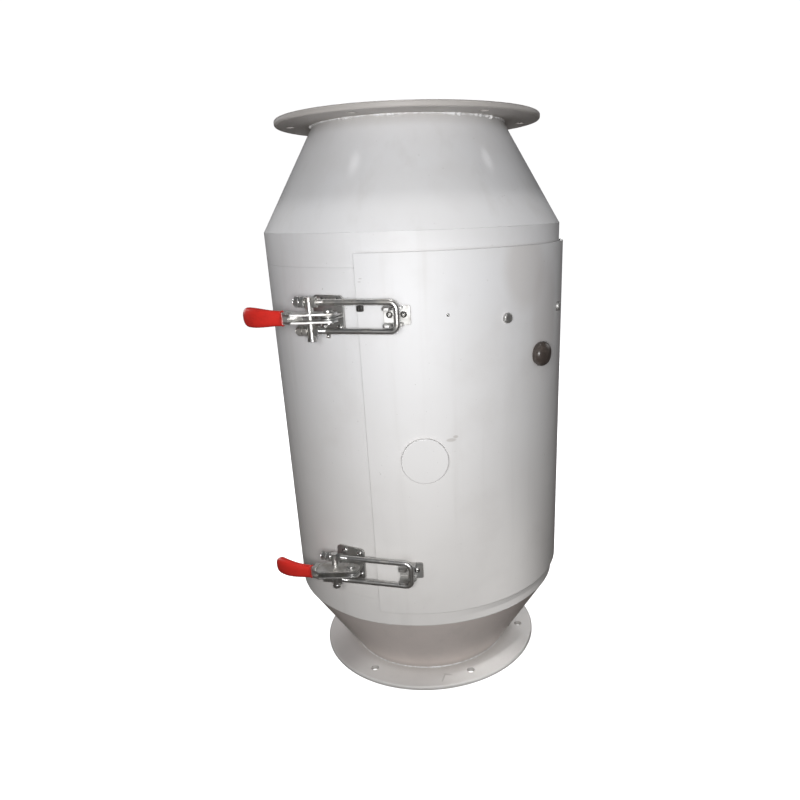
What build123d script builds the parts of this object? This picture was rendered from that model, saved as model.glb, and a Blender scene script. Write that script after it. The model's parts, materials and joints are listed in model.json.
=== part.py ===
from build123d import *
from math import asin, cos, degrees, hypot, radians, sin, sqrt, tan
import os

# Drum magnet separator: a steel drum between two cones and two flanges.
# Grain or powder falls from the top flange to the bottom one, past a magnet core in the middle.
# The core hangs on a curved door, which swings on two hinges and is held shut by two toggle latches.
#
# Millimetres. The origin is the centre of the bottom flange's underside, +Z is up the drum's axis.
# An azimuth is an angle in degrees round the axis: 0 is the front (-Y), and it grows towards +X.
# The loops of the latches pull along X, across the front.

# Housing
drum_radius = 200.0
drum_height = 512.0
housing_sheet = 2.5
neck_radius = 124.5
cone_height = 125.5
flange_radius = 172.0
flange_thickness = 7.0
flange_edge_round = 2.5
flange_hole_radius = 6.0
flange_hole_count = 6
top_bolt_circle_radius = 151.5
bottom_bolt_circle_radius = 148.5
top_hole_azimuth = 53.0
bottom_hole_azimuth = 40.0

# Door
door_start = -2.5
door_end = 133.5
door_height = 468.0
door_sheet = 3.0
door_lap = 16.0
gasket_thickness = 2.1
gasket_width = 14.0
gasket_inset = 1.0
gasket_clearance = 0.3

# Round cap on the door
cap_radius = 29.5
cap_azimuth = 17.6
cap_below_middle = 13.5
cap_rise = 3.5
cap_edge_round = 1.2

# Knob on the door
knob_above_middle = 101.0
knob_radius = 17.0
knob_height = 27.0
knob_stem_radius = 8.0
knob_foot_radius = 13.0
knob_foot_height = 4.0
knob_under = 13.0
knob_rim_round = 2.5

# Magnet core and the arms that carry it on the door
core_radius = 100.0
core_length = 330.0
core_tip_height = 45.0
core_tip_radius = 6.0
arm_thickness = 6.0
arm_height = 24.0
arm_spread = 33.3
arm_inset = 0.0
pad_thickness = 5.0
pad_width = 40.0
arm_bolt_radius = 5.0
arm_bolt_head_radius = 6.2
arm_bolt_head_height = 4.0
arm_bolt_head_round = 2.0
arm_nut_height = 8.0
arm_nut_across_flats = 17.0
arm_nut_socket_radius = 10.5

# Door hinges
hinge_azimuth = 136.5
hinge_axis_standoff = 11.0
hinge_above_middle = 150.0
hinge_height = 64.0
hinge_leaf_thickness = 3.0
hinge_leaf_length = 34.0
hinge_barrel_radius = 6.0
hinge_pin_radius = 3.0
hinge_pin_head_radius = 5.0
hinge_pin_head_height = 2.0
hinge_running_clearance = 0.05
knuckle_gap = 0.5
leaf_barrel_gap = 1.5

# Toggle latches, both alike, above and below the drum's middle
latch_above_middle = 165.5
loop_line_standoff = 17.0
over_centre = 3.0
pivot_x = -39.0
cross_pin_x = -63.0
loop_end_x = 43.0

latch_base_x = -48.0
latch_base_length = 43.0
latch_base_width = 44.0
latch_base_thickness = 2.5
latch_base_corner = 5.0
web_thickness = 2.0
web_spacing = 3.4
web_foot_start = -18.0
web_foot_end = 19.5
web_boss_radius = 9.0

pivot_pin_radius = 4.0
pivot_pin_head_radius = 5.5
pivot_pin_head_height = 2.0
pivot_pin_end_play = 0.5
latch_running_clearance = 0.05

lever_plate_thickness = 2.2
lever_plate_gap = 6.4
lever_rise = 22.0
lever_drop = 9.0
lever_nose = 11.0
lever_nose_rise = 8.5
lever_nose_round = 8.0
lever_heel = 8.0
lever_corner_round = 2.5
lever_end_rise = 17.0
lever_end_back = 1.0
lever_edge_start_x = -77.0
lever_slot_end_x = -82.0
lever_floor_end_x = -70.0
lever_floor_thickness = 2.0
collar_length = 5.0
tang_thickness = 5.0
tang_width = 14.0
tang_share_of_bend = 0.6

grip_line_rise = 12.0
grip_start_x = -88.0
grip_straight_x = -106.0
grip_tip_x = -153.0
grip_bend = 14.5
grip_neck_width = 17.5
grip_neck_depth = 11.0
grip_bulb_width = 23.0
grip_bulb_depth = 13.0
grip_tip_round = 9.0
grip_neck_stations = (0, 0.33, 0.67)
grip_tip_stations = (0, 0.7, 0.98)

wire_radius = 3.5
leg_spacing = 33.0
loop_corner_radius = 8.5
leg_tail = 19.0
cross_pin_radius = 4.5
cross_pin_top = 22.0
cross_pin_bottom = 24.5
cross_pin_head_radius = 5.5
cross_pin_head_height = 4.0
nut_across_flats = 11.0
nut_height = 5.5
lock_nut_gap = 1.3

catch_x = 38.7
catch_length = 31.0
catch_width = 22.0
catch_thickness = 2.5
catch_corner = 2.0
lip_thickness = 3.0
lip_spacing = 19.0
lip_height = 22.0
lip_start = -14.8
lip_foot_end = 6.7
lip_corner = 3.0
lip_lean = 3.0
wire_seat_gap = 0.3

# How far a cutting shape runs past what it cuts
overcut = 1.0

# Heights and radii that follow from the sizes above
drum_bottom = flange_thickness + cone_height
drum_top = drum_bottom + drum_height
drum_middle = (drum_bottom + drum_top) / 2
top_flange_bottom = drum_top + cone_height
cone_wall = housing_sheet * hypot(drum_radius - neck_radius, cone_height) / cone_height
bore_radius = neck_radius - cone_wall

door_bottom = drum_middle - door_height / 2
door_top = drum_middle + door_height / 2
door_middle_azimuth = (door_start + door_end) / 2
gasket_inner_radius = drum_radius + gasket_clearance
door_inner_radius = gasket_inner_radius + gasket_thickness
door_outer_radius = door_inner_radius + door_sheet

lap_angle = degrees(door_lap / drum_radius)
opening_start = door_start + lap_angle
opening_end = door_end - lap_angle
opening_bottom = door_bottom + door_lap
opening_top = door_top - door_lap

core_bottom = drum_middle - core_length / 2
core_top = drum_middle + core_length / 2
upper_arm_height = core_top - arm_inset - arm_height / 2
lower_arm_height = core_bottom + arm_inset + arm_height / 2

hinge_axis_radius = drum_radius + hinge_axis_standoff
loop_line_distance = drum_radius + loop_line_standoff
pivot_distance = loop_line_distance + over_centre
latch_base_azimuth = degrees(asin(latch_base_x / drum_radius))
catch_azimuth = degrees(asin(catch_x / door_outer_radius))

parts = {}


def upright(azimuth, radius, height):
    """Plane that faces outwards from the drum: X along the drum's skin, Y up, Z outwards."""
    a = radians(azimuth)
    return Plane(
        origin=(radius * sin(a), -radius * cos(a), height),
        x_dir=(cos(a), sin(a), 0),
        z_dir=(sin(a), -cos(a), 0),
    )


def wall(inner, outer, low, high, start, end):
    """Curved upright wall between two radii, two heights and two azimuths."""
    section = Pos((inner + outer) / 2, (low + high) / 2) * Rectangle(outer - inner, high - low)
    turned = revolve(Plane.XZ * section, Axis.Z, end - start)
    return Rot(0, 0, start - 90) * turned


def ring(inner, outer, low, high):
    """Whole ring about the drum's axis."""
    return wall(inner, outer, low, high, 0, 360)


def flange(low, circle_radius, hole_azimuth):
    """Flat ring with a rounded rim and a circle of bolt holes."""
    plate = ring(bore_radius, flange_radius, low, low + flange_thickness)
    rims = plate.edges().filter_by(GeomType.CIRCLE).sort_by(lambda e: e.radius)[-2:]
    plate = fillet(rims, flange_edge_round)
    for i in range(flange_hole_count):
        azimuth = hole_azimuth + i * 360 / flange_hole_count
        a = radians(azimuth)
        centre = Pos(circle_radius * sin(a), -circle_radius * cos(a), low + flange_thickness / 2)
        plate -= centre * Cylinder(flange_hole_radius, flange_thickness + 2 * overcut)
    return plate


def cone(wide_height, narrow_height):
    """Conical shell from the drum's radius to the neck's."""
    section = make_face(Polyline(
        (drum_radius - cone_wall, wide_height),
        (drum_radius, wide_height),
        (neck_radius, narrow_height),
        (bore_radius, narrow_height),
        close=True,
    ))
    return revolve(Plane.XZ * section, Axis.Z, 360)


def flat_hexagon(across_flats, height):
    """Nut blank on the XY plane, rising along Z."""
    return extrude(RegularPolygon(across_flats / 2, 6, major_radius=False), height)


# Housing
parts["bottom_flange"] = flange(0, bottom_bolt_circle_radius, bottom_hole_azimuth)
parts["bottom_cone"] = cone(drum_bottom, flange_thickness)
parts["top_cone"] = cone(drum_top, top_flange_bottom)
parts["top_flange"] = flange(top_flange_bottom, top_bolt_circle_radius, top_hole_azimuth)

drum_inner_radius = drum_radius - housing_sheet
parts["drum_bottom_band"] = ring(drum_inner_radius, drum_radius, drum_bottom, opening_bottom)
parts["drum_top_band"] = ring(drum_inner_radius, drum_radius, opening_top, drum_top)

wall_names = ["rear_right_wall", "rear_left_wall", "left_wall", "front_wall"]
wall_angle = (360 + opening_start - opening_end) / len(wall_names)
for i, name in enumerate(wall_names):
    start = opening_end + i * wall_angle
    parts[name] = wall(drum_inner_radius, drum_radius, opening_bottom, opening_top, start, start + wall_angle)


# Door skin and its rubber gasket
arm_azimuths = [door_middle_azimuth - arm_spread / 2, door_middle_azimuth + arm_spread / 2]

skin = wall(door_inner_radius, door_outer_radius, door_bottom, door_top, door_start, door_end)
for azimuth in arm_azimuths:
    hole = upright(azimuth, door_inner_radius + door_sheet / 2, upper_arm_height)
    skin -= hole * Cylinder(arm_bolt_radius, door_sheet + 2 * overcut)
parts["door_skin"] = skin

inset_angle = degrees(gasket_inset / drum_radius)
strip_angle = degrees(gasket_width / drum_radius)
gasket = wall(
    gasket_inner_radius, door_inner_radius, door_bottom + gasket_inset, door_top - gasket_inset,
    door_start + inset_angle, door_end - inset_angle,
)
gasket -= wall(
    gasket_inner_radius - overcut, door_inner_radius + overcut,
    door_bottom + gasket_inset + gasket_width, door_top - gasket_inset - gasket_width,
    door_start + inset_angle + strip_angle, door_end - inset_angle - strip_angle,
)
parts["door_gasket"] = gasket


# Round cap: flat in front, its back follows the door
cap_plane = upright(cap_azimuth, door_inner_radius, drum_middle - cap_below_middle)
cap = cap_plane * extrude(Circle(cap_radius), door_sheet + cap_rise)
cap = fillet(cap.edges().sort_by(lambda e: -hypot(e.center().X, e.center().Y))[0], cap_edge_round)
cap -= Pos(0, 0, drum_middle) * Cylinder(door_outer_radius, door_height)
parts["round_cap"] = cap


# Knob: foot, stem and domed head, turned in one piece
knob_rim = knob_radius - knob_rim_round
dome_base = knob_under + 2 * knob_rim_round
dome_rise = knob_height - dome_base
dome_radius = (knob_rim ** 2 + dome_rise ** 2) / (2 * dome_rise)
dome_half_way = knob_height - dome_radius + sqrt(dome_radius ** 2 - knob_rim ** 2 / 4)
knob_section = make_face([
    Polyline(
        (0, knob_height),
        (0, 0),
        (knob_foot_radius, 0),
        (knob_foot_radius, knob_foot_height / 2),
        (knob_stem_radius, knob_foot_height),
        (knob_stem_radius, knob_under - knob_rim_round),
        (knob_rim, knob_under),
    ),
    ThreePointArc((knob_rim, knob_under), (knob_radius, knob_under + knob_rim_round), (knob_rim, dome_base)),
    ThreePointArc((knob_rim, dome_base), (knob_rim / 2, dome_half_way), (0, knob_height)),
])
knob = revolve(Plane.XZ * knob_section, Axis.Z, 360)
parts["door_knob"] = upright(door_middle_azimuth, door_outer_radius, drum_middle + knob_above_middle) * knob


# Magnet core: a closed cylinder with a conical cap at each end
def core_tip(base, tip):
    outline = Polyline((0, base), (core_radius, base), (core_tip_radius, tip), (0, tip), close=True)
    section = make_face(outline)
    return revolve(Plane.XZ * section, Axis.Z, 360)


parts["core_shell"] = Pos(0, 0, drum_middle) * Cylinder(core_radius, core_length)
parts["core_top_cone"] = core_tip(core_top, core_top + core_tip_height)
parts["core_bottom_cone"] = core_tip(core_bottom, core_bottom - core_tip_height)


def core_arms(height, bolted):
    """Two upright plates from the core to curved pads on the inside of the door."""
    pad_angle = degrees(pad_width / door_inner_radius)
    pad_inner_radius = door_inner_radius - pad_thickness
    arms = []
    for azimuth in arm_azimuths:
        low, high = height - arm_height / 2, height + arm_height / 2
        arm_end = pad_inner_radius + pad_thickness / 2
        plate = Pos(arm_end / 2, 0, height) * Box(arm_end, arm_thickness, arm_height)
        arm = Rot(0, 0, azimuth - 90) * plate
        arm -= Pos(0, 0, height) * Cylinder(core_radius, 2 * arm_height)
        start = azimuth - pad_angle / 2
        arm += wall(pad_inner_radius, door_inner_radius, low, high, start, start + pad_angle)
        if bolted:
            hole = upright(azimuth, door_inner_radius - pad_thickness / 2, height)
            arm -= hole * Cylinder(arm_bolt_radius, pad_thickness + 2 * overcut)
        arms.append(arm)
    return arms


parts["lower_core_arms"] = core_arms(lower_arm_height, False)

# The upper arms are screwed on, so that the core can be taken off the door
bolt_nut_radius = door_inner_radius - pad_thickness - arm_nut_height
upper_arms = []
for arm in core_arms(upper_arm_height, True):
    for azimuth in arm_azimuths:
        pocket = upright(azimuth, bolt_nut_radius, upper_arm_height)
        arm -= pocket * extrude(Circle(arm_nut_socket_radius), arm_nut_height)
    upper_arms.append(arm)
parts["upper_core_arms"] = upper_arms

bolts = []
for azimuth in arm_azimuths:
    head = extrude(Circle(arm_bolt_head_radius), arm_bolt_head_height)
    head = fillet(head.edges().sort_by(Axis.Z)[-1], arm_bolt_head_round)
    shank_length = door_sheet + pad_thickness + arm_nut_height
    shank = Pos(0, 0, -shank_length) * extrude(Circle(arm_bolt_radius), shank_length)
    nut = Pos(0, 0, -shank_length) * flat_hexagon(arm_nut_across_flats, arm_nut_height)
    bolts.append(upright(azimuth, door_outer_radius, upper_arm_height) * (head + shank + nut))
parts["door_bolts"] = bolts


# Door hinges: a leaf on the drum, a leaf on the door and a pin through their knuckles
hinge_a = radians(hinge_azimuth)
hinge_centre = Vector(hinge_axis_radius * sin(hinge_a), -hinge_axis_radius * cos(hinge_a), 0)
knuckle_height = hinge_height / 3
leaf_gap_angle = degrees((hinge_barrel_radius + leaf_barrel_gap) / drum_radius)
leaf_angle = degrees(hinge_leaf_length / drum_radius)


def on_hinge_axis(low, high, radius):
    """Upright cylinder about the hinge's axis."""
    return Pos(hinge_centre.X, hinge_centre.Y, (low + high) / 2) * Cylinder(radius, high - low)


def knuckle(low, high, bore):
    return on_hinge_axis(low, high, hinge_barrel_radius) - on_hinge_axis(low - overcut, high + overcut, bore)


def hinge(name, middle):
    low, high = middle - hinge_height / 2, middle + hinge_height / 2
    pin_hole = on_hinge_axis(low - overcut, high + overcut, hinge_pin_radius)
    loose_hole = on_hinge_axis(low - overcut, high + overcut, hinge_pin_radius + hinge_running_clearance)

    frame_start = hinge_azimuth + leaf_gap_angle
    frame_leaf = wall(
        drum_radius, drum_radius + hinge_leaf_thickness, low, high, frame_start, frame_start + leaf_angle)
    for k_low in (low, high - knuckle_height):
        k_high = k_low + knuckle_height
        frame_leaf += knuckle(k_low, k_high, hinge_pin_radius)
        frame_leaf += wall(
            drum_radius, hinge_axis_radius, k_low, k_high, hinge_azimuth, frame_start + leaf_gap_angle / 2)
    parts[name + "_frame_leaf"] = frame_leaf - pin_hole

    door_knuckle_low = low + knuckle_height + knuckle_gap
    door_knuckle_high = high - knuckle_height - knuckle_gap
    leaf_end = hinge_azimuth - leaf_gap_angle
    door_leaf_radius = door_outer_radius + hinge_leaf_thickness
    door_leaf = wall(door_outer_radius, door_leaf_radius, low, high, leaf_end - leaf_angle, leaf_end)
    door_leaf += knuckle(door_knuckle_low, door_knuckle_high, hinge_pin_radius + hinge_running_clearance)
    door_leaf += wall(
        door_outer_radius, door_leaf_radius, door_knuckle_low, door_knuckle_high,
        leaf_end - leaf_gap_angle / 2, hinge_azimuth)
    parts[name + "_door_leaf"] = door_leaf - loose_hole

    pin = on_hinge_axis(low, high, hinge_pin_radius)
    pin += on_hinge_axis(low - hinge_pin_head_height, low, hinge_pin_head_radius)
    pin += on_hinge_axis(high, high + hinge_pin_head_height, hinge_pin_head_radius)
    parts[name + "_pin"] = pin


hinge("upper_hinge", drum_middle + hinge_above_middle)
hinge("lower_hinge", drum_middle - hinge_above_middle)


# Toggle latches
# The loop, lever and grip lie in planes across the front: X as the part's X, outwards is -Y.
plate_inner = lever_plate_gap / 2
plate_outer = plate_inner + lever_plate_thickness


def across(x, distance, height):
    """Frame at one point of the latch: X along the loop, Y up, Z outwards."""
    return Plane(origin=(x, -distance, height), x_dir=(1, 0, 0), z_dir=(0, -1, 0))


def level(height):
    """Plan view at one height: X as the part's X, Y outwards."""
    return Plane(origin=(0, 0, height), x_dir=(1, 0, 0), z_dir=(0, 0, -1))


def latch_base(middle):
    """Flat foot tangent to the drum, with two upright webs that carry the pivot."""
    foot_plane = upright(latch_base_azimuth, drum_radius, middle)
    foot = RectangleRounded(latch_base_length, latch_base_width, latch_base_corner)
    base = foot_plane * extrude(foot, latch_base_thickness)
    local = foot_plane.to_local_coords(Vector(pivot_x, -pivot_distance, middle))
    foot_line = Line((web_foot_start, latch_base_thickness), (web_foot_end, latch_base_thickness))
    boss = Pos(local.X, local.Z) * CenterArc((0, 0), web_boss_radius, 0, 360)
    side = make_hull([foot_line, boss]) - Pos(local.X, local.Z) * Circle(pivot_pin_radius)
    web = extrude(side, web_thickness / 2, both=True)
    for offset in (-web_spacing / 2, web_spacing / 2):
        plan = Plane(
            origin=foot_plane.origin + Vector(0, 0, offset), x_dir=foot_plane.x_dir, z_dir=(0, 0, -1))
        base += plan * web
    return base


def pivot_pin(middle):
    """Rivet through the webs and the lever's plates."""
    length = 2 * (plate_outer + pivot_pin_end_play)
    pin = Cylinder(pivot_pin_radius, length)
    for side in (-1, 1):
        offset = side * (length + pivot_pin_head_height) / 2
        pin += Pos(0, 0, offset) * Cylinder(pivot_pin_head_radius, pivot_pin_head_height)
    return Pos(pivot_x, -pivot_distance, middle) * pin


# Centre line of the grip in plan: straight out of the lever, then bent towards the drum
grip_line_distance = pivot_distance + grip_line_rise
grip_straight = Line((grip_start_x, grip_line_distance), (grip_straight_x, grip_line_distance))
grip_arc = TangentArc(
    (grip_straight_x, grip_line_distance), (grip_tip_x, grip_line_distance - grip_bend), tangent=(-1, 0))


def lever(middle):
    """Channel that straddles the webs, open outwards, with a collar and a tang for the grip."""
    top = pivot_distance + lever_rise
    bottom = pivot_distance - lever_drop
    nose = pivot_x + lever_nose
    end_back = pivot_distance + lever_end_back
    end_front = pivot_distance + lever_end_rise
    side = make_face(Polyline(
        (nose, bottom),
        (nose, pivot_distance + lever_nose_rise),
        (lever_edge_start_x, top),
        (grip_start_x, end_front),
        (grip_start_x, end_back),
        (cross_pin_x - lever_heel, bottom),
        close=True,
    ))
    corners = side.vertices().sort_by(Axis.X)
    side = fillet(corners[-2:], lever_nose_round)
    side = fillet(side.vertices().sort_by(Axis.X)[2:4], lever_corner_round)
    side -= Pos(pivot_x, pivot_distance) * Circle(pivot_pin_radius + latch_running_clearance)
    side -= Pos(cross_pin_x, loop_line_distance) * Circle(cross_pin_radius + latch_running_clearance)

    def block(start, end, back, front, half_width):
        shape = Pos((start + end) / 2, (back + front) / 2) * Rectangle(end - start, front - back)
        return level(middle) * extrude(shape, half_width, both=True)

    # Between the side plates: the channel's floor, and its closed end with a round inside corner
    slot_round_x = lever_slot_end_x + plate_inner
    piece = block(grip_start_x, lever_floor_end_x, end_back, end_back + lever_floor_thickness, plate_inner)
    closed_end = block(grip_start_x, slot_round_x, end_back, end_front, plate_inner)
    slot_depth = end_front - end_back + overcut
    slot = across(slot_round_x, end_front, middle) * Cylinder(plate_inner, 2 * slot_depth)
    piece += closed_end - slot
    piece += block(grip_start_x, grip_start_x + collar_length, end_back, end_front, tang_width / 2)
    for offset in (-1, 1):
        centre = middle + offset * (plate_inner + plate_outer) / 2
        piece += level(centre) * extrude(side, lever_plate_thickness / 2, both=True)
    tang = trace([grip_straight, grip_arc.trim(0, tang_share_of_bend)], tang_thickness)
    return piece + level(middle) * extrude(tang, tang_width / 2, both=True)


def grip_section(line, distance, width, depth, middle):
    """Flat section with round edges, square to the grip's line, its width upright."""
    point, along = line @ (distance / line.length), line % (distance / line.length)
    place = Plane(origin=(point.X, -point.Y, middle), x_dir=(0, 0, 1), z_dir=(along.X, -along.Y, 0))
    return place * SlotOverall(width, depth)


def grip(middle, tang):
    """Dipped plastic sleeve: a flat neck that widens to a bulb with a rounded tip."""
    line = Wire([grip_straight, grip_arc])
    bulb_start = line.length - grip_tip_round
    faces = []
    for share in grip_neck_stations:
        width = grip_neck_width + share * (grip_bulb_width - grip_neck_width)
        depth = grip_neck_depth + share * (grip_bulb_depth - grip_neck_depth)
        faces.append(grip_section(line, share * bulb_start, width, depth, middle))
    for share in grip_tip_stations:
        left = sqrt(1 - share ** 2)
        distance = bulb_start + share * grip_tip_round
        faces.append(grip_section(line, distance, left * grip_bulb_width, left * grip_bulb_depth, middle))
    return loft(faces) - tang


def loop(middle):
    """U-bolt: two legs and a round-cornered end, of one wire."""
    half = leg_spacing / 2
    tail = cross_pin_x - leg_tail
    path = FilletPolyline(
        (tail, half), (loop_end_x, half), (loop_end_x, -half), (tail, -half), radius=loop_corner_radius)
    path = across(0, loop_line_distance, middle) * path
    section = Plane(origin=path @ 0, z_dir=path % 0) * Circle(wire_radius)
    return sweep(section, path=path)


def along_legs(middle, start_x, length, shape):
    """The same shape on both legs of the loop, its axis along X."""
    pieces = []
    for side in (-1, 1):
        place = Plane(
            origin=(start_x, -loop_line_distance, middle + side * leg_spacing / 2),
            x_dir=(0, 0, 1),
            z_dir=(1, 0, 0),
        )
        pieces.append(place * extrude(shape, length))
    return pieces


def cross_pin(middle):
    """Trunnion that carries the loop's legs and turns in the lever's plates."""
    low, high = middle - cross_pin_bottom, middle + cross_pin_top
    pin = Pos(cross_pin_x, -loop_line_distance, (low + high) / 2) * Cylinder(cross_pin_radius, high - low)
    head_height = low - cross_pin_head_height / 2
    pin += Pos(cross_pin_x, -loop_line_distance, head_height) * Cylinder(
        cross_pin_head_radius, cross_pin_head_height)
    half_bore = cross_pin_radius + overcut
    for leg in along_legs(middle, cross_pin_x - half_bore, 2 * half_bore, Circle(wire_radius)):
        pin -= leg
    return pin


def nuts(middle):
    """On both legs: a nut and a lock nut left of the trunnion, and a nut right of it."""
    shape = RegularPolygon(nut_across_flats / 2, 6, major_radius=False) - Circle(wire_radius)
    nut_x = cross_pin_x - cross_pin_radius - nut_height
    lock_nut_x = nut_x - lock_nut_gap - nut_height
    lock_nuts = along_legs(middle, lock_nut_x, nut_height, shape)
    left = along_legs(middle, nut_x, nut_height, shape)
    right = along_legs(middle, cross_pin_x + cross_pin_radius, nut_height, shape)
    return lock_nuts + left + right


def catch(middle):
    """Plate on the door with two upright lips: the loop's end lies against them on a shoulder."""
    plane = upright(catch_azimuth, door_outer_radius, middle)
    plate = plane * extrude(RectangleRounded(catch_length, catch_width, catch_corner), catch_thickness)
    wire = plane.to_local_coords(Vector(loop_end_x, -loop_line_distance, middle))
    inside_bend = loop_corner_radius - wire_radius
    past_bend = max(0, (lip_spacing + lip_thickness - leg_spacing) / 2 + loop_corner_radius)
    bend_drift = inside_bend - sqrt(inside_bend ** 2 - past_bend ** 2)
    stop = wire.X - wire_radius - bend_drift - wire_seat_gap
    shoulder = wire.Z - wire_radius - wire_seat_gap
    lean = (lip_height - shoulder) * tan(radians(catch_azimuth + lip_lean))
    lip = make_face(Polyline(
        (lip_start, 0),
        (lip_foot_end, 0),
        (lip_foot_end, shoulder),
        (stop, shoulder),
        (stop - lean, lip_height),
        (lip_start, lip_height),
        close=True,
    ))
    top_corners = lip.vertices().sort_by(Axis.Y)[-2:]
    lip = extrude(fillet(top_corners, lip_corner), lip_thickness / 2, both=True)
    for offset in (-lip_spacing / 2, lip_spacing / 2):
        plan = Plane(origin=plane.origin + Vector(0, 0, offset), x_dir=plane.x_dir, z_dir=(0, 0, -1))
        plate += plan * lip
    return plate


latch_heights = {
    "upper": drum_middle + latch_above_middle,
    "lower": drum_middle - latch_above_middle,
}
for side, middle in latch_heights.items():
    parts[side + "_latch_base"] = latch_base(middle)
    parts[side + "_latch_pivot_pin"] = pivot_pin(middle)
    lever_solid = lever(middle)
    parts[side + "_latch_lever"] = lever_solid
    parts[side + "_latch_grip"] = grip(middle, lever_solid)
    parts[side + "_latch_cross_pin"] = cross_pin(middle)
    parts[side + "_latch_loop"] = loop(middle)
    parts[side + "_latch_nuts"] = nuts(middle)
    parts[side + "_latch_catch"] = catch(middle)


os.makedirs("parts", exist_ok=True)
for name, shape in parts.items():
    solids = ShapeList(shape).solids() if isinstance(shape, list) else shape.solids()
    export_step(Compound(children=list(solids)) if len(solids) > 1 else solids[0], f"parts/{name}.step")
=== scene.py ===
import json
import math

import bmesh
import bpy
from mathutils import Matrix, Vector, noise


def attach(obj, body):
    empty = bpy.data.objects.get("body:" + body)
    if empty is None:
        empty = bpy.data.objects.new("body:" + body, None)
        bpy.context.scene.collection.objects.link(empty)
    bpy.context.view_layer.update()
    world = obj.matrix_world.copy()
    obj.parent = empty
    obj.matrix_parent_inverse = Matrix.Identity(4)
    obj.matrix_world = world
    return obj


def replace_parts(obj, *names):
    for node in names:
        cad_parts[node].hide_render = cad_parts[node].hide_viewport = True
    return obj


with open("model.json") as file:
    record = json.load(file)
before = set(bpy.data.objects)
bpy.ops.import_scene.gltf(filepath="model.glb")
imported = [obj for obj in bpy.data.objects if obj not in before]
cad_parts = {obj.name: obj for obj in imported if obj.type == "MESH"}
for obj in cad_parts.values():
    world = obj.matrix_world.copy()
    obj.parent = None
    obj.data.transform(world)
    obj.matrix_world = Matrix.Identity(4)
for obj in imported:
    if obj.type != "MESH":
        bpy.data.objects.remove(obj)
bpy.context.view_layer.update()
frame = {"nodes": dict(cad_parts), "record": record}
nodes = frame["nodes"]

# Sizes in metres, angles in degrees. An azimuth runs from the front (-Y) towards +X.
DRUM_RADIUS = 0.200
DRUM_MIDDLE = 0.3885
DRUM_BOTTOM = 0.1325
DRUM_TOP = 0.6445
DOOR_RADIUS = 0.2054
DOOR_MIDDLE = 65.5
NECK_RADIUS = 0.1245
BOTTOM_NECK = 0.007
TOP_NECK = 0.770
CONE_SLOPE = (DRUM_RADIUS - NECK_RADIUS) / (TOP_NECK - DRUM_TOP)
FLANGE_TOP = 0.777

# Latches: height from the drum's middle, plate thickness, places round the drum and the loop's wires
LATCH_OFFSET = 0.1655
LATCHES = (("upper", DRUM_MIDDLE + LATCH_OFFSET), ("lower", DRUM_MIDDLE - LATCH_OFFSET))
LATCH_PLATE = 0.0025
BASE_AZIMUTH = math.degrees(math.asin(-0.0480 / DRUM_RADIUS))
CATCH_AZIMUTH = math.degrees(math.asin(0.0387 / DOOR_RADIUS))
LOOP_LINE = 0.217
LEG_OFFSET = 0.0165

# Hinges: height from the drum's middle, place round the drum, and the leaves' gap, width and half height
HINGE_OFFSET = 0.150
HINGES = (("upper", DRUM_MIDDLE + HINGE_OFFSET), ("lower", DRUM_MIDDLE - HINGE_OFFSET))
HINGE_AZIMUTH = 136.5
LEAF_GAP = math.degrees(0.0075 / DRUM_RADIUS)
LEAF_ANGLE = math.degrees(0.034 / DRUM_RADIUS)
LEAF_HALF = 0.031

# Red grip: its open end along X, the distance of its line from the drum's axis, its straight run,
# the radius of its bend, its length, its domed tip, its rolled lip and where its even rings start,
# then its half width and half depth, what they gain towards the tip, and the lip's height
GRIP_START = -0.0902
GRIP_LINE = 0.232
GRIP_STRAIGHT = 0.014
GRIP_BEND_RADIUS = 0.069
GRIP_LENGTH = 0.0592
GRIP_TIP = 0.0112
GRIP_LIP = 0.0016
GRIP_BODY = 0.0022
GRIP_WIDE, GRIP_THICK = 0.0086, 0.0055
GRIP_WIDER, GRIP_THICKER = 0.0030, 0.0012
GRIP_FULL = 0.72 * GRIP_LENGTH
GRIP_LIP_HEIGHT = 0.0005
GRIP_SQUARENESS = 0.78
GRIP_SIDES = 36
GRIP_EVEN_RINGS = 18

# Colour sockets of the Mix node
MIX_A = 6
MIX_B = 7
MIX_RESULT = 2

# Share of a mark's size over which its edge fades, inwards and outwards
SPOT_FADE = 0.3


# Materials

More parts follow.
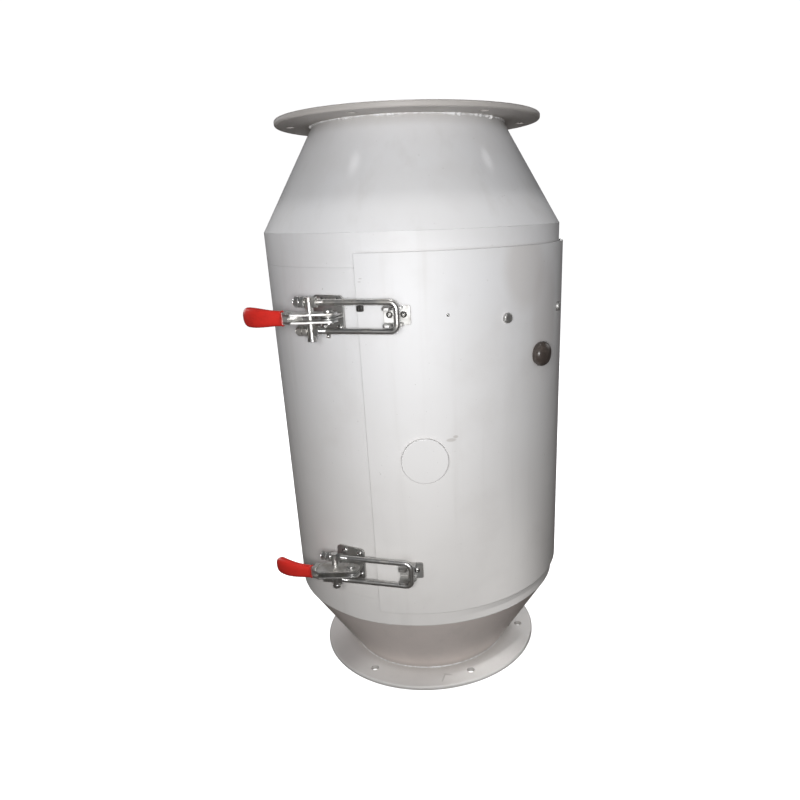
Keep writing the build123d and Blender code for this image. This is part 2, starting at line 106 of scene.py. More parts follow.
class Finish:
    """One procedural material: its nodes are added by name and linked in reading order."""

    def __init__(self, name, color, roughness, metallic=0.0):
        self.material = bpy.data.materials.new(name)
        self.material.use_nodes = True
        self.tree = self.material.node_tree
        self.shader = self.tree.nodes["Principled BSDF"]
        self.shader.inputs["Base Color"].default_value = (*color, 1)
        self.shader.inputs["Roughness"].default_value = roughness
        self.shader.inputs["Metallic"].default_value = metallic
        self.place = self.add("ShaderNodeTexCoord").outputs["Object"]

    def add(self, kind, **settings):
        node = self.tree.nodes.new(kind)
        for key, value in settings.items():
            setattr(node, key, value)
        return node

    def link(self, a, b):
        self.tree.links.new(a, b)

    def stretched(self, scale):
        node = self.add("ShaderNodeMapping")
        node.inputs["Scale"].default_value = scale
        self.link(self.place, node.inputs["Vector"])
        return node.outputs["Vector"]

    def noise(self, scale, detail=3.0, roughness=0.5, at=None):
        node = self.add("ShaderNodeTexNoise")
        node.inputs["Scale"].default_value = scale
        node.inputs["Detail"].default_value = detail
        node.inputs["Roughness"].default_value = roughness
        self.link(at or self.place, node.inputs["Vector"])
        return node.outputs["Fac"]

    def ranged(self, value, low, high, to_low=0.0, to_high=1.0):
        node = self.add("ShaderNodeMapRange")
        node.interpolation_type = "SMOOTHSTEP"
        for key, number in zip(("From Min", "From Max", "To Min", "To Max"), (low, high, to_low, to_high)):
            node.inputs[key].default_value = number
        self.link(value, node.inputs["Value"])
        return node.outputs["Result"]

    def mixed(self, share, a, b):
        node = self.add("ShaderNodeMix", data_type="RGBA")
        self.link(share, node.inputs["Factor"])
        for socket, value in ((node.inputs[MIX_A], a), (node.inputs[MIX_B], b)):
            if isinstance(value, tuple):
                socket.default_value = (*value, 1)
            else:
                self.link(value, socket)
        return node.outputs[MIX_RESULT]

    def height(self):
        node = self.add("ShaderNodeSeparateXYZ")
        self.link(self.place, node.inputs[0])
        return node.outputs["Z"]

    def times(self, a, b):
        node = self.add("ShaderNodeMath", operation="MULTIPLY")
        self.link(a, node.inputs[0])
        if isinstance(b, float):
            node.inputs[1].default_value = b
        else:
            self.link(b, node.inputs[1])
        return node.outputs[0]

    def bump(self, height, strength, distance, under=None):
        node = self.add("ShaderNodeBump")
        node.inputs["Strength"].default_value = strength
        node.inputs["Distance"].default_value = distance
        self.link(height, node.inputs["Height"])
        if under:
            self.link(under, node.inputs["Normal"])
        return node.outputs["Normal"]

    def rounded_edges(self, radius):
        """Normal that turns sharp edges into small rounds where light catches them."""
        node = self.add("ShaderNodeBevel", samples=4)
        node.inputs["Radius"].default_value = radius
        return node.outputs["Normal"]

    def spot(self, centre, size):
        """1 within an ellipsoid round one point, 0 outside."""
        move = self.add("ShaderNodeVectorMath", operation="SUBTRACT")
        self.link(self.place, move.inputs[0])
        move.inputs[1].default_value = centre
        scale = self.add("ShaderNodeVectorMath", operation="DIVIDE")
        self.link(move.outputs[0], scale.inputs[0])
        scale.inputs[1].default_value = size
        far = self.add("ShaderNodeVectorMath", operation="LENGTH")
        self.link(scale.outputs[0], far.inputs[0])
        return self.ranged(far.outputs["Value"], 1 - SPOT_FADE, 1 + SPOT_FADE, 1.0, 0.0)

    def color(self, value):
        self.link(value, self.shader.inputs["Base Color"])

    def roughness(self, value):
        self.link(value, self.shader.inputs["Roughness"])

    def normal(self, value):
        self.link(value, self.shader.inputs["Normal"])


def grey_coat(name, marks=(), clean=(0.755, 0.757, 0.770), glossy_above=None):
    """Light grey paint sprayed on rolled sheet: faint orange peel, dust clouds, runs, a few pits and painted
    shade in corners.

    A mark is its centre, its half sizes, its tint and the tint's share. Faces above the height
    glossy_above are glossier.
    """
    f = Finish(name, clean, 0.55)
    clouds = f.ranged(f.noise(5.0, 5.0, 0.6), 0.42, 0.75)
    patches = f.ranged(f.noise(16.0, 4.0, 0.55), 0.50, 0.72)
    runs = f.ranged(f.noise(1.0, 4.0, 0.6, f.stretched((38, 38, 2.2))), 0.52, 0.78)
    pits = f.ranged(f.noise(300.0, 2.0), 0.745, 0.785)
    height = f.ranged(f.height(), 0.15, 0.62)
    low = (clean[0] * 1.01, clean[1] * 0.985, clean[2] * 0.945)
    color = f.mixed(height, low, clean)
    color = f.mixed(f.times(clouds, 0.35), color, tuple(0.85 * c for c in low))
    color = f.mixed(f.times(patches, 0.12), color, (0.56, 0.53, 0.51))
    color = f.mixed(f.times(runs, 0.20), color, (0.54, 0.52, 0.50))
    color = f.mixed(f.times(pits, 0.45), color, (0.30, 0.28, 0.26))
    # Painted shade: darker where ambient occlusion finds faces close by, in corners and under the flange.
    corner = f.add("ShaderNodeAmbientOcclusion", samples=6)
    corner.inputs["Distance"].default_value = 0.018
    corner_shade = f.times(f.ranged(corner.outputs["AO"], 0.25, 0.85, 1.0, 0.0), 0.45)
    color = f.mixed(corner_shade, color, (0.36, 0.33, 0.30))
    for centre, size, tint, share in marks:
        color = f.mixed(f.times(f.spot(centre, size), share), color, tint)
    f.color(color)
    roughness = f.ranged(clouds, 0.0, 1.0, 0.52, 0.64)
    if glossy_above is not None:
        polish = f.ranged(f.height(), glossy_above - 0.001, glossy_above, 1.0, 0.54)
        roughness = f.times(roughness, polish)
    f.roughness(roughness)
    sheet = f.bump(f.noise(9.0, 1.0), 0.25, 0.004, f.rounded_edges(0.0008))
    f.normal(f.bump(f.noise(650.0, 2.0), 0.10, 0.0004, sheet))
    return f.material


def weld_coat():
    """Paint over a weld bead: whiter and glossier than the sheet beside it."""
    f = Finish("painted weld", (0.78, 0.78, 0.78), 0.34)
    f.color(f.mixed(f.ranged(f.noise(120.0, 3.0), 0.36, 0.62), (0.78, 0.78, 0.785), (0.60, 0.59, 0.58)))
    f.normal(f.bump(f.noise(900.0, 3.0), 0.3, 0.0006))
    return f.material


def zinc_plate(name, dullness, shade=1.0):
    """Zinc over stamped steel, satin, with a brown tinge and fine scratches; a shade below 1 darkens it as
    painted shade.
    """
    f = Finish(name, (0.62, 0.615, 0.60), 0.40, 1.0)
    bright, brown = (0.70, 0.70, 0.69), (0.52, 0.50, 0.47)
    tinge = f.ranged(f.noise(55.0, 4.0, 0.6), 0.40, 0.72)
    spots = f.ranged(f.noise(320.0, 3.0, 0.7), 0.60, 0.74)
    # A shade below 1 darkens the whole colour: painted shade.
    color = f.mixed(tinge, tuple(shade * c for c in bright), tuple(shade * c for c in brown))
    f.color(f.mixed(f.times(spots, 0.5), color, (0.26, 0.23, 0.20)))
    f.roughness(f.ranged(tinge, 0.0, 1.0, 0.34 + dullness, 0.48 + dullness))
    edges = f.rounded_edges(0.0006)
    scratches = f.bump(f.noise(1.0, 3.0, 0.6, f.stretched((120, 900, 900))), 0.10, 0.0003, edges)
    f.normal(f.bump(f.noise(90.0, 2.0), 0.15, 0.0006, scratches))
    return f.material


def red_dip():
    """Dipped red vinyl, glossy, a little dirty where a hand holds it."""
    f = Finish("red dip", (0.64, 0.026, 0.018), 0.38)
    f.shader.inputs["Coat Weight"].default_value = 0.12
    f.shader.inputs["Coat Roughness"].default_value = 0.25
    dirt = f.ranged(f.noise(70.0, 5.0, 0.65), 0.46, 0.78)
    f.color(f.mixed(f.times(dirt, 0.5), (0.66, 0.028, 0.020), (0.36, 0.014, 0.012)))
    f.roughness(f.ranged(dirt, 0.0, 1.0, 0.34, 0.50))
    f.normal(f.bump(f.noise(240.0, 2.0), 0.12, 0.0008))
    return f.material


def brown_moulding():
    """Grey-brown moulded plastic, a little polished on its crown."""
    f = Finish("brown moulding", (0.062, 0.050, 0.044), 0.36)
    worn = f.ranged(f.noise(110.0, 4.0, 0.6), 0.42, 0.72)
    f.color(f.mixed(f.times(worn, 0.6), (0.060, 0.048, 0.042), (0.130, 0.108, 0.094)))
    f.roughness(f.ranged(worn, 0.0, 1.0, 0.32, 0.46))
    f.normal(f.bump(f.noise(400.0, 2.0), 0.05, 0.0004))
    return f.material


def brushed_stainless():
    """Stainless sheet brushed round the core, dulled by grain dust."""
    f = Finish("brushed stainless", (0.62, 0.62, 0.62), 0.30, 1.0)
    dust = f.ranged(f.noise(14.0, 5.0, 0.6), 0.42, 0.75)
    f.color(f.mixed(f.times(dust, 0.45), (0.74, 0.74, 0.735), (0.52, 0.49, 0.45)))
    f.roughness(f.ranged(dust, 0.0, 1.0, 0.36, 0.52))
    f.normal(f.bump(f.noise(1.0, 4.0, 0.6, f.stretched((14, 14, 1500))), 0.18, 0.0003))
    return f.material


def sponge_rubber():
    """Black sponge strip with open pores."""
    f = Finish("sponge rubber", (0.022, 0.022, 0.022), 0.85)
    pores = f.noise(900.0, 3.0, 0.7)
    f.color(f.mixed(f.ranged(pores, 0.4, 0.6), (0.016, 0.016, 0.016), (0.045, 0.043, 0.040)))
    f.normal(f.bump(pores, 0.6, 0.0008))
    return f.material


def plated_bolt(name="plated bolt", color=(0.55, 0.545, 0.53), dullness=0.0):
    """Plated steel of screws and pins, dulled by handling."""
    f = Finish(name, color, 0.34, 1.0)
    dull = f.ranged(f.noise(300.0, 4.0, 0.6), 0.42, 0.7)
    dark = tuple(0.55 * c for c in color)
    f.color(f.mixed(f.times(dull, 0.7), color, dark))
    f.roughness(f.ranged(dull, 0.0, 1.0, 0.26 + dullness, 0.48 + dullness))
    f.normal(f.bump(f.noise(1200.0, 2.0), 0.15, 0.0003, f.rounded_edges(0.0005)))
    return f.material


def black_steel():
    """Blackened steel of the small stop beside the upper loop."""
    f = Finish("black steel", (0.05, 0.048, 0.045), 0.45, 0.6)
    worn = f.ranged(f.noise(700.0, 3.0, 0.6), 0.5, 0.7)
    f.color(f.mixed(worn, (0.035, 0.033, 0.032), (0.20, 0.19, 0.18)))
    f.normal(f.bump(f.noise(900.0, 2.0), 0.4, 0.0006))
    return f.material


def pale_floor():
    """Floor that glows faintly, so that it stays pale behind the part."""
    f = Finish("pale floor", (0.86, 0.86, 0.855), 0.6)
    cloud = f.ranged(f.noise(2.0, 3.0), 0.3, 0.7)
    f.color(f.mixed(cloud, (0.87, 0.87, 0.865), (0.85, 0.85, 0.845)))
    f.shader.inputs["Emission Color"].default_value = (1, 1, 1, 1)
    f.shader.inputs["Emission Strength"].default_value = 0.94
    return f.material


def on_skin(azimuth, height):
    """Point on the outside of the door."""
    a = math.radians(azimuth)
    return (DOOR_RADIUS * math.sin(a), -DOOR_RADIUS * math.cos(a), height)


ZINC = zinc_plate("zinc plate", 0.0)
LEVER_ZINC = zinc_plate("zinc plate, lever", 0.08)
# Latch bases and catches: a darker copy of the zinc plate, painted shade.
DULL_ZINC_PAINTED_SHADE = zinc_plate("zinc plate, dull, painted shade", 0.18, 0.72)
BOLT = plated_bolt()
DULL_BOLT = plated_bolt("dull bolt", (0.66, 0.655, 0.64), 0.22)
PALE_RIVET = plated_bolt("pale rivet", (0.55, 0.55, 0.54))
WELD = weld_coat()
BLACK = black_steel()
RED = red_dip()
BROWN = brown_moulding()

SCRATCH = (0.40, 0.38, 0.36)
SMEAR = (0.42, 0.39, 0.36)
HOUSING_COAT = grey_coat("grey coat", marks=(
    ((0.0595, -0.1417, 0.007), (0.0013, 0.0088, 0.004), SCRATCH, 0.55),
    ((0.0640, -0.1320, 0.007), (0.0070, 0.0016, 0.004), SCRATCH, 0.45),
    # Painted shadow of the drum on the left part of the bottom flange.
    ((-0.135, -0.060, 0.007), (0.080, 0.110, 0.020), (0.46, 0.43, 0.42), 0.65),
))
# Top flange: a darker, warmer copy of the grey coat; painted shade for its dim underside, and a darker rim.
FLANGE_COAT = grey_coat("grey coat, top flange", clean=(0.50, 0.475, 0.455), glossy_above=FLANGE_TOP - 0.0005)
# Bottom cone: a lighter, warmer copy of the grey coat, painted light bounced up from below.
CONE_COAT = grey_coat("grey coat, bottom cone", clean=(0.80, 0.745, 0.735))
DOOR_COAT = grey_coat("grey coat, door", marks=(
    (on_skin(-1.0, 0.5915), (0.0020, 0.002, 0.0005), SCRATCH, 0.5),
    (on_skin(-0.6, 0.5950), (0.0020, 0.002, 0.0005), SCRATCH, 0.5),
    (on_skin(58.0, 0.5950), (0.035, 0.035, 0.045), (0.60, 0.57, 0.55), 0.45),
    (on_skin(70.0, 0.5350), (0.030, 0.030, 0.070), (0.58, 0.55, 0.54), 0.40),
    (on_skin(27.0, 0.3998), (0.006, 0.006, 0.0022), SMEAR, 0.5),
    (on_skin(28.6, 0.4035), (0.003, 0.004, 0.0018), SMEAR, 0.5),
))

SLOT_FINISH = {
    "paint": HOUSING_COAT,
    "zinc_steel": ZINC,
    "red_plastic": RED,
    "knob_plastic": BROWN,
    "stainless": brushed_stainless(),
    "gasket_rubber": sponge_rubber(),
    "bolt_steel": BOLT,
}
NODE_FINISH = {
    "door_skin": DOOR_COAT,
    "round_cap": DOOR_COAT,
    "upper_hinge_door_leaf": DOOR_COAT,
    "lower_hinge_door_leaf": DOOR_COAT,
    "top_flange": FLANGE_COAT,
    "bottom_cone": CONE_COAT,
    "door_bolts": DULL_BOLT,
}
LATCH_FINISH = {"lever": LEVER_ZINC, "base": DULL_ZINC_PAINTED_SHADE, "catch": DULL_ZINC_PAINTED_SHADE}
for part in frame["record"]["subparts"]:
    name = part["node"]
    finish = NODE_FINISH.get(name, SLOT_FINISH[part["material_slot"]])
    finish = LATCH_FINISH.get(name.split("_")[-1], finish)
    nodes[name].data.materials.clear()
    nodes[name].data.materials.append(finish)


# Shapes

def on_drum(azimuth, radius, height):
    """Matrix of a spot on the drum: X along the skin, Y up, Z outwards."""
    a = math.radians(azimuth)
    along = Vector((math.cos(a), math.sin(a), 0))
    out = Vector((math.sin(a), -math.cos(a), 0))
    place = Matrix((along, (0, 0, 1), out)).transposed().to_4x4()
    place.translation = out * radius + Vector((0, 0, height))
    return place


def finished(name, shapes, finish, body, smooth_angle=35):
    """Joins closed shapes into one piece that rides on a body."""
    whole = bmesh.new()
    mesh = bpy.data.meshes.new(name)
    for shape in shapes:
        bmesh.ops.remove_doubles(shape, verts=shape.verts, dist=1e-6)
        bmesh.ops.recalc_face_normals(shape, faces=shape.faces)
        shape.to_mesh(mesh)
        shape.free()
        whole.from_mesh(mesh)
    whole.to_mesh(mesh)
    whole.free()
    mesh.materials.append(finish)
    mesh.shade_smooth()
    mesh.set_sharp_from_angle(angle=math.radians(smooth_angle))
    piece = bpy.data.objects.new(name, mesh)
    bpy.context.scene.collection.objects.link(piece)
    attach(piece, body)
    return piece


def outline(shape, points, closed=False):
    """Vertices and edges along a few points."""
    line = [shape.verts.new(p) for p in points]
    following = line[1:] + line[:1] if closed else line[1:]
    return line + [shape.edges.new(pair) for pair in zip(line, following)]


def spin_round(shape, geometry, steps):
    """Spins vertices and edges a full turn about Z."""
    bmesh.ops.spin(
        shape, geom=geometry, axis=(0, 0, 1), cent=(0, 0, 0), angle=2 * math.pi, steps=steps,
        use_merge=True)


def turned(profile, place, steps=32):
    """Spins a profile of (radius, height) points a full turn about the place's Z."""
    shape = bmesh.new()
    spin_round(shape, outline(shape, [(r, 0, z) for r, z in profile]), steps)
    bmesh.ops.transform(shape, matrix=place, verts=shape.verts)
    return shape


def round_head(place, radius, height, dimple=0.35):
    """Domed screw head with a small dimple in its crown."""
    profile = [(radius, 0), (radius, 0.25 * height)]
    for share in (0.25, 0.5, 0.75):
        angle = share * math.pi / 2
        profile.append((radius * math.cos(angle) ** 0.8, height * (0.25 + 0.75 * math.sin(angle))))
    profile += [(radius * dimple, height), (radius * dimple * 0.7, height * 0.72), (0, height * 0.66)]
    return turned([(0, 0)] + profile, place)


def bead(start, end, radius, flatness, seed):
    """Straight weld bead between two points, half sunk in what it joins."""
    ripple, pitch = 0.16, 0.0022
    run = end - start
    half = run.length / 2
    rings = max(8, int(run.length / pitch) * 4)
    shape = bmesh.new()
    bmesh.ops.create_cone(
        shape, cap_ends=True, segments=12, radius1=radius, radius2=radius, depth=run.length)
    long_edges = [e for e in shape.edges if abs(e.verts[0].co.z - e.verts[1].co.z) > half]
    bmesh.ops.subdivide_edges(shape, edges=long_edges, cuts=rings)
    for v in shape.verts:
        along = v.co.z
        swell = 1 + ripple * math.sin(2 * math.pi * along / pitch)
        swell += 0.25 * noise.noise((seed, along * 160, 0))
        taper = min(1.0, (half - abs(along)) / (2 * radius) + 0.35)
        v.co.x *= swell * taper
        v.co.y *= swell * taper * flatness
    turn = run.to_track_quat("Z", "Y").to_matrix().to_4x4()
    bmesh.ops.transform(shape, matrix=Matrix.Translation((start + end) / 2) @ turn, verts=shape.verts)
    return shape


def azimuth_of(vertex):
    """Azimuth of a vertex round the drum's axis."""
    return math.degrees(math.atan2(vertex.co.x, -vertex.co.y))


def swell_ring(vertex, radius, height, swell):
    """Moves a vertex of a ring bead away from the ring's centre line."""
    out = Vector((vertex.co.x, vertex.co.y, 0)).normalized()
    foot = out * radius + Vector((0, 0, height))
    vertex.co = foot + (vertex.co - foot) * swell


# Weld beads round the necks and the drum

NECK_STEPS = 540
SEAM_STEPS = 360
SEAM_SIZE = 0.0010
INTO_FLANGE = 0.0004
INTO_CONE = 0.0006
GROUND_OFF = 0.00002


def neck_weld(name, height, upwards, size, lumps, seed):
    """Fillet bead in the corner between a cone's neck and its flange.

    A lump is its azimuth, its width and its rise.
    """
    side = 1 if upwards else -1
    corner = Vector((NECK_RADIUS, 0, height))
    on_flange = corner + Vector((size, 0, 0))
    on_cone = corner + Vector((CONE_SLOPE, 0, side)).normalized() * size
    into_flange = Vector((0, 0, -side * INTO_FLANGE))
    into_cone = Vector((-INTO_CONE, 0, 0))
    profile = [corner + into_flange + into_cone, on_flange + into_flange]
    for share in (0.2, 0.4, 0.6, 0.8):
        point = on_flange.lerp(on_cone, share)
        profile.append(point + (point - corner) * 0.45 * math.sin(share * math.pi))
    profile.append(on_cone + into_cone)
    shape = bmesh.new()
    spin_round(shape, outline(shape, profile, closed=True), NECK_STEPS)
    for v in shape.verts:
        azimuth = azimuth_of(v)
        swell = 0.85 + 0.14 * math.sin(azimuth * 1.55) + 0.35 * noise.noise((azimuth * 0.09, seed, 0))
        for centre, width, rise in lumps:
            lump = rise * math.exp(-((azimuth - centre) / width) ** 2)
            swell += lump * (1 + 0.4 * math.sin(azimuth * 2.1))
        swell_ring(v, NECK_RADIUS, height, max(0.35, swell))
    finished(name, [shape], WELD, "housing", 60)


neck_weld("top_neck_weld", TOP_NECK, False, 0.0020, (
    (-61, 4, 0.9), (-18, 6, 0.6), (8, 6, 0.7), (44, 8, 0.6), (60, 4, 0.8), (69, 3, 1.2), (140, 7, 0.5)), 1.7)
neck_weld("bottom_neck_weld", BOTTOM_NECK, True, 0.0019, (
    (18, 5, 0.5), (52, 3, 0.4), (-70, 6, 0.4), (170, 8, 0.5)), 5.3)


def seam_weld(name, height, seed):
    """Bead ground flush with the drum round the edge where a cone meets it."""
    shape = bmesh.new()
    upright = Matrix.Rotation(math.pi / 2, 4, "X")
    circle = bmesh.ops.create_circle(shape, segments=12, radius=SEAM_SIZE, matrix=upright)
    bmesh.ops.translate(shape, verts=circle["verts"], vec=(DRUM_RADIUS - SEAM_SIZE, 0, height))
    spin_round(shape, list(shape.verts) + list(shape.edges), SEAM_STEPS)
    for v in shape.verts:
        azimuth = azimuth_of(v)
        swell = 0.95 + 0.5 * noise.noise((azimuth * 0.05, seed, 0))
        if height < DRUM_MIDDLE:
            swell += 0.8 * math.exp(-((azimuth - 0.2) / 0.8) ** 2)
        swell_ring(v, DRUM_RADIUS - SEAM_SIZE, height, max(0.5, swell))
        reach = math.hypot(v.co.x, v.co.y)
        v.co.xy *= min(1.0, (DRUM_RADIUS - GROUND_OFF) / reach)
    finished(name, [shape], HOUSING_COAT, "housing", 60)


seam_weld("top_seam_weld", DRUM_TOP, 2.9)
seam_weld("bottom_seam_weld", DRUM_BOTTOM, 8.1)


# Screws and threads of the latches

BASE_HEAD_RADIUS = 0.0042
CATCH_HEAD_RADIUS = 0.0038
HEAD_HEIGHT = 0.0026
BASE_SCREWS = [(across, rise) for across in (-0.0086, 0.0151) for rise in (-0.0154, 0.0158)]
CATCH_SCREWS = [(-0.0087, 0.0010), (0.0077, 0.0010)]
THREAD_RUNS = ((-0.0825, -0.0796), (-0.0750, -0.0725), (-0.0532, -0.0430))
THREAD_PITCH = 0.00115
THREAD_CREST = 0.0038
THREAD_ROOT = 0.00355
THREAD_END = 0.0032


def screw_heads(plate, spots, radius):
    """Screw heads at (across, up) spots of a plate."""
    return [round_head(plate @ Matrix.Translation((across, up, 0)), radius, HEAD_HEIGHT)
            for across, up in spots]


def leg_thread(leg_height, start, end):
    """Rings of thread round a loop's leg, between two places along X."""
    rings = int((end - start) / THREAD_PITCH)
    profile = [(0.0, 0.0), (THREAD_END, 0.0)]
    for i in range(rings):
        profile.append((THREAD_CREST, (i + 0.45) * THREAD_PITCH))
        profile.append((THREAD_ROOT, (i + 0.95) * THREAD_PITCH))
    profile.append((0.0, rings * THREAD_PITCH))
    place = Matrix.Translation((start, -LOOP_LINE, leg_height)) @ Matrix.Rotation(math.pi / 2, 4, "Y")
    return turned(profile, place, 24)


for side, middle in LATCHES:
    base = on_drum(BASE_AZIMUTH, DRUM_RADIUS + LATCH_PLATE, middle)
    heads = screw_heads(base, BASE_SCREWS, BASE_HEAD_RADIUS)
    finished(f"{side}_latch_base_screws", heads, BOLT, "housing")

    catch = on_drum(CATCH_AZIMUTH, DOOR_RADIUS + LATCH_PLATE, middle)
    heads = screw_heads(catch, CATCH_SCREWS, CATCH_HEAD_RADIUS)
    finished(f"{side}_latch_catch_screws", heads, BOLT, "door")

    threads = [leg_thread(middle + offset, *run)
               for offset in (-LEG_OFFSET, LEG_OFFSET) for run in THREAD_RUNS]
    finished(f"{side}_latch_threads", threads, ZINC, f"{side}_loop", 25)


# Small fixings of the door and the drum. A profile is its (radius, height) points.

RIVET_PROFILE = (
    (0, -0.0004), (0.0020, -0.0004), (0.0020, 0.0003), (0.0016, 0.0007), (0.0009, 0.0007),
    (0.0006, 0.0001), (0, 0))
KNOB_PROFILE = (
    (0, -0.0003), (0.0140, -0.0003), (0.0140, 0.0012), (0.0149, 0.0020), (0.0155, 0.0032),
    (0.0156, 0.0058), (0.0152, 0.0078), (0.0142, 0.0098), (0.0126, 0.0115), (0.0102, 0.0129),
    (0.0070, 0.0139), (0.0035, 0.0145), (0, 0.0147))
STOP_SIZE = (0.0075, 0.0068, 0.0060)
STOP_EDGE = 0.0009
STOP_OUT = 0.0025
SCREW_RADIUS, SCREW_HEIGHT = 0.0030, 0.0046
SCREW_SUNK = 0.0004

# Azimuth and height of the rivet and the stop, height of the knob, and the screw's place from the
# middle of the upper base, across and up
RIVET_SPOT = (27.2, 0.5515)
STOP_SPOT = (-1.1, 0.5622)
KNOB_HEIGHT = 0.4895
SCREW_FROM_BASE = (-0.0040, -0.0260)


def door_rivet():
    """Small rivet in the door, left of the bolts."""
    azimuth, height = RIVET_SPOT
    rivet = turned(RIVET_PROFILE, on_drum(azimuth, DOOR_RADIUS, height))
    finished("door_rivet", [rivet], PALE_RIVET, "door")


def edge_stop():
    """Small block on the door's edge, beside the upper loop."""
    azimuth, height = STOP_SPOT
    shape = bmesh.new()
    bmesh.ops.create_cube(shape, size=1.0, matrix=Matrix.Diagonal((*STOP_SIZE, 1)))
    bmesh.ops.bevel(
        shape, geom=list(shape.edges), offset=STOP_EDGE, offset_type="OFFSET", segments=3, profile=0.5,
        affect="EDGES", material=-1)
    place = on_drum(azimuth, DOOR_RADIUS + STOP_OUT, height)
    bmesh.ops.transform(shape, matrix=place, verts=shape.verts)
    finished("edge_stop", [shape], BLACK, "door")


def drum_screw():
    """Screw in the drum, under the base of the upper latch."""
    base = on_drum(BASE_AZIMUTH, DRUM_RADIUS - SCREW_SUNK, DRUM_MIDDLE + LATCH_OFFSET)
    place = base @ Matrix.Translation((*SCREW_FROM_BASE, 0))
    screw = round_head(place, SCREW_RADIUS, SCREW_HEIGHT)
    finished("drum_screw", [screw], BOLT, "housing")


def low_knob():
    """Flat round knob in the middle of the door."""
    knob = turned(KNOB_PROFILE, on_drum(DOOR_MIDDLE, DOOR_RADIUS, KNOB_HEIGHT), 48)
    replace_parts(finished("low_knob", [knob], BROWN, "door"), "door_knob")


door_rivet()
edge_stop()
drum_screw()
low_knob()


# Red grips of the levers: dipped over the tang, bulging towards the tip, bent towards the drum

def grip_ring(run):
    """Place, half width and half depth of the grip at a distance along it, from its open end."""
    x, depth, slant = GRIP_START - run, GRIP_LINE, 0.0
    if run > GRIP_STRAIGHT:
        turn = (run - GRIP_STRAIGHT) / GRIP_BEND_RADIUS
        x = GRIP_START - GRIP_STRAIGHT - GRIP_BEND_RADIUS * math.sin(turn)
        depth = GRIP_LINE - GRIP_BEND_RADIUS * (1 - math.cos(turn))
        slant = turn
    grown = min(1.0, run / GRIP_FULL)
    grown = grown * grown * (3 - 2 * grown)
    wide = GRIP_WIDE + GRIP_WIDER * grown
    thick = GRIP_THICK + GRIP_THICKER * grown
    left = GRIP_LENGTH - run
    if left < GRIP_TIP:
        dome = math.sqrt(max(0.0, 1 - (1 - left / GRIP_TIP) ** 2))
        wide, thick = wide * dome, thick * dome
    if run < GRIP_LIP:
        wide, thick = wide + GRIP_LIP_HEIGHT, thick + GRIP_LIP_HEIGHT
    return x, depth, slant, wide, thick


def grip_stations():
    """Distances of the grip's rings from its open end, closer together on the domed tip."""
    body = GRIP_LENGTH - GRIP_TIP - GRIP_BODY
    stations = [0.0, GRIP_LIP / 2, GRIP_LIP]
    stations += [GRIP_BODY + body * i / GRIP_EVEN_RINGS for i in range(GRIP_EVEN_RINGS + 1)]
    for angle in (12, 25, 38, 50, 61, 71, 79, 85):
        stations.append(GRIP_LENGTH - GRIP_TIP * (1 - math.sin(math.radians(angle))))
    return stations


def dipped_grip(side, middle):
    """Rounded ring after ring along the grip's bent line, bridged and capped."""
    upright = Matrix(((0, 0, -1, 0), (1, 0, 0, 0), (0, 1, 0, 0), (0, 0, 0, 1)))
    shape = bmesh.new()
    rings = []
    for run in grip_stations():
        x, depth, slant, wide, thick = grip_ring(run)
        ring = bmesh.ops.create_circle(shape, segments=GRIP_SIDES, radius=1.0)["verts"]
        for v in ring:
            v.co.x = math.copysign(abs(v.co.x) ** GRIP_SQUARENESS, v.co.x)
            v.co.y = math.copysign(abs(v.co.y) ** GRIP_SQUARENESS, v.co.y)
        place = Matrix.Translation((x, -depth, middle)) @ Matrix.Rotation(-slant, 4, "Z") @ upright
        bmesh.ops.transform(shape, matrix=place @ Matrix.Diagonal((thick, wide, 1, 1)), verts=ring)
        rings.append(ring)
    for near, far in zip(rings, rings[1:]):
        edges = [e for e in shape.edges if set(e.verts) <= set(near) or set(e.verts) <= set(far)]
        bmesh.ops.bridge_loops(shape, edges=edges)
    for end in (rings[0], rings[-1]):
        bmesh.ops.contextual_create(shape, geom=list(end))
    grip = finished(f"{side}_dipped_grip", [shape], RED, f"{side}_lever", 50)
    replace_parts(grip, f"{side}_latch_grip")


for side, middle in LATCHES:
    dipped_grip(side, middle)


# Weld beads of the hinge leaves

LEAF_WELD_RADIUS = 0.0030
LEAF_WELD_FLATNESS = 0.75
LEAF_WELD_OUT = 0.0010
for side, middle in HINGES:
    for leaf, azimuth, radius, body in (
            ("frame", HINGE_AZIMUTH + LEAF_GAP + LEAF_ANGLE, DRUM_RADIUS, "housing"),
            ("door", HINGE_AZIMUTH - LEAF_GAP - LEAF_ANGLE, DOOR_RADIUS, "door")):
        foot = on_drum(azimuth, radius + LEAF_WELD_OUT, middle).translation
        half = Vector((0, 0, LEAF_HALF))
        weld = bead(foot - half, foot + half, LEAF_WELD_RADIUS, LEAF_WELD_FLATNESS, azimuth)
        finished(f"{side}_{leaf}_leaf_weld", [weld], WELD, body, 60)


# Studio

PART_MIDDLE = (0, 0, 0.4)
DRUM_FRONT = (0, 0, 0.42)
FOOT = (0.135, -0.10, 0)
STRAIGHT_DOWN = (0, 0.0001, 0)
COVE_START = 2.4
COVE_RADIUS = 1.2
WALL_TOP = 4.0
SHADE_POSITION, SHADE_LIGHT = 0.32, (0.052, 0.046, 0.042, 1)
SKY_POSITION, SKY_LIGHT = 0.78, (0.030, 0.030, 0.032, 1)
EYE = (0.29189, -0.95474, 0.66334)
HEADING, PITCH, ROLL = 15.254, 21.0036, 2.0202
SENSOR = 36
LENS = 30.591
SHIFT = (-0.05395, 0.09055)


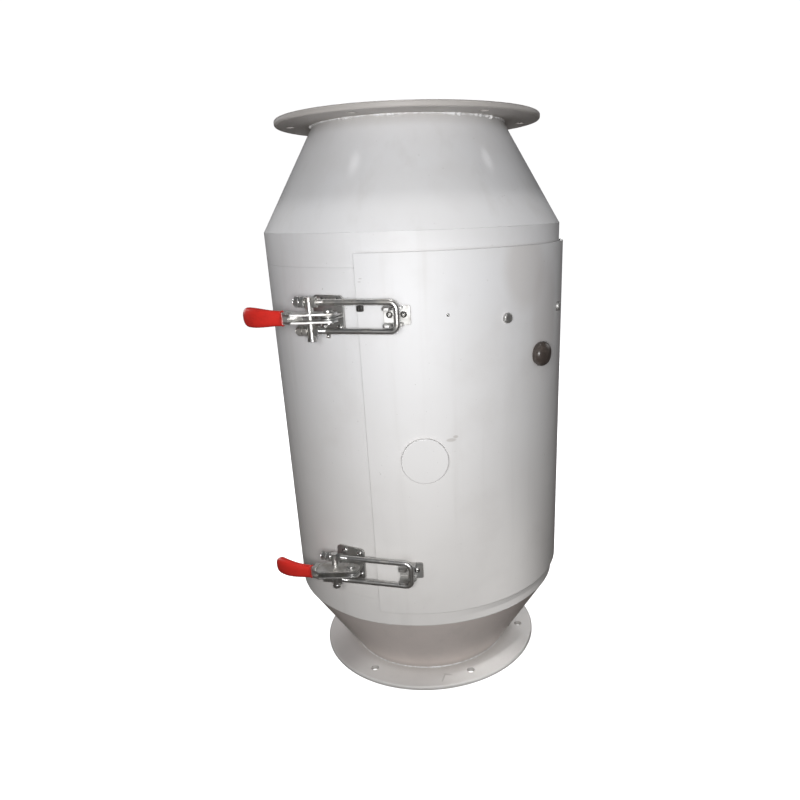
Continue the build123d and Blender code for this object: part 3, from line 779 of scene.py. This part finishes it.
def studio_floor():
    """Round floor that curves up into a wall, seen by the camera but not lighting the part."""
    cove = [(0.0, 0.0), (COVE_START, 0.0)]
    for degrees in range(10, 100, 10):
        a = math.radians(degrees)
        cove.append((COVE_START + COVE_RADIUS * math.sin(a), COVE_RADIUS - COVE_RADIUS * math.cos(a)))
    cove.append((COVE_START + COVE_RADIUS, WALL_TOP))
    shape = turned(cove, Matrix.Identity(4), 96)
    bmesh.ops.remove_doubles(shape, verts=shape.verts, dist=1e-6)
    bmesh.ops.recalc_face_normals(shape, faces=shape.faces)
    bmesh.ops.reverse_faces(shape, faces=shape.faces)
    mesh = bpy.data.meshes.new("studio_floor")
    shape.to_mesh(mesh)
    shape.free()
    mesh.shade_smooth()
    mesh.materials.append(pale_floor())
    floor = bpy.data.objects.new("studio_floor", mesh)
    bpy.context.scene.collection.objects.link(floor)
    floor.visible_diffuse = False
    floor.visible_glossy = False


def softbox(name, spot, target, size, watts, spread=180):
    """Square soft light aimed at a point, not seen by the camera itself."""
    light = bpy.data.lights.new(name, "AREA")
    light.shape = "SQUARE"
    light.size = size
    light.energy = watts
    light.spread = math.radians(spread)
    lamp = bpy.data.objects.new(name, light)
    lamp.location = spot
    lamp.rotation_euler = (Vector(target) - Vector(spot)).to_track_quat("-Z", "Y").to_euler()
    lamp.visible_camera = False
    bpy.context.scene.collection.objects.link(lamp)


def dim_room():
    """World light that is warmer from below than from above."""
    world = bpy.data.worlds.new("room")
    world.use_nodes = True
    room = world.node_tree
    background = room.nodes["Background"]
    background.inputs["Strength"].default_value = 1.0
    direction = room.nodes.new("ShaderNodeTexCoord")
    split = room.nodes.new("ShaderNodeSeparateXYZ")
    lift = room.nodes.new("ShaderNodeMapRange")
    lift.inputs["From Min"].default_value = -1.0
    ramp = room.nodes.new("ShaderNodeValToRGB")
    shade, sky = ramp.color_ramp.elements
    shade.position, shade.color = SHADE_POSITION, SHADE_LIGHT
    sky.position, sky.color = SKY_POSITION, SKY_LIGHT
    room.links.new(direction.outputs["Generated"], split.inputs[0])
    room.links.new(split.outputs["Z"], lift.inputs["Value"])
    room.links.new(lift.outputs["Result"], ramp.inputs["Fac"])
    room.links.new(ramp.outputs["Color"], background.inputs["Color"])
    bpy.context.scene.world = world


def photo_camera():
    """Camera where the photograph was taken from, turned by its heading, pitch and roll."""
    heading, pitch, roll = (math.radians(angle) for angle in (HEADING, PITCH, ROLL))
    level_right = Vector((math.cos(heading), math.sin(heading), 0))
    level_ahead = Vector((-math.sin(heading), math.cos(heading), 0))
    forward = level_ahead * math.cos(pitch) - Vector((0, 0, math.sin(pitch)))
    level_up = level_right.cross(forward)
    right = math.cos(roll) * level_right - math.sin(roll) * level_up
    up = math.sin(roll) * level_right + math.cos(roll) * level_up
    turn = Matrix((right, up, -forward)).transposed().to_4x4()
    camera = bpy.data.cameras.new("photo_camera")
    camera.sensor_width = SENSOR
    camera.lens = LENS
    camera.shift_x, camera.shift_y = SHIFT
    eye = bpy.data.objects.new("photo_camera", camera)
    eye.matrix_world = Matrix.Translation(EYE) @ turn
    bpy.context.scene.collection.objects.link(eye)
    bpy.context.scene.camera = eye


studio_floor()
softbox("key_light", (0.33, -1.015, 0.64), DRUM_FRONT, 0.16, 6.2)
softbox("high_key_light", (0.12, -1.06, 0.71), DRUM_FRONT, 0.16, 2.2)
softbox("foot_light", (0.50, -0.46, 1.19), FOOT, 0.06, 0.022, spread=10)
softbox("ceiling_light", (0, 0, 3.0), STRAIGHT_DOWN, 0.25, 16.0)
softbox("left_light", (-2.0, 0.5, 1.1), PART_MIDDLE, 1.0, 9.0)
softbox("back_light", (-0.5, 2.1, 1.3), PART_MIDDLE, 1.0, 20.0)
softbox("right_light", (1.7, 1.5, 1.2), PART_MIDDLE, 1.0, 6.0)
dim_room()
photo_camera()
bpy.context.scene.view_settings.view_transform = "Standard"
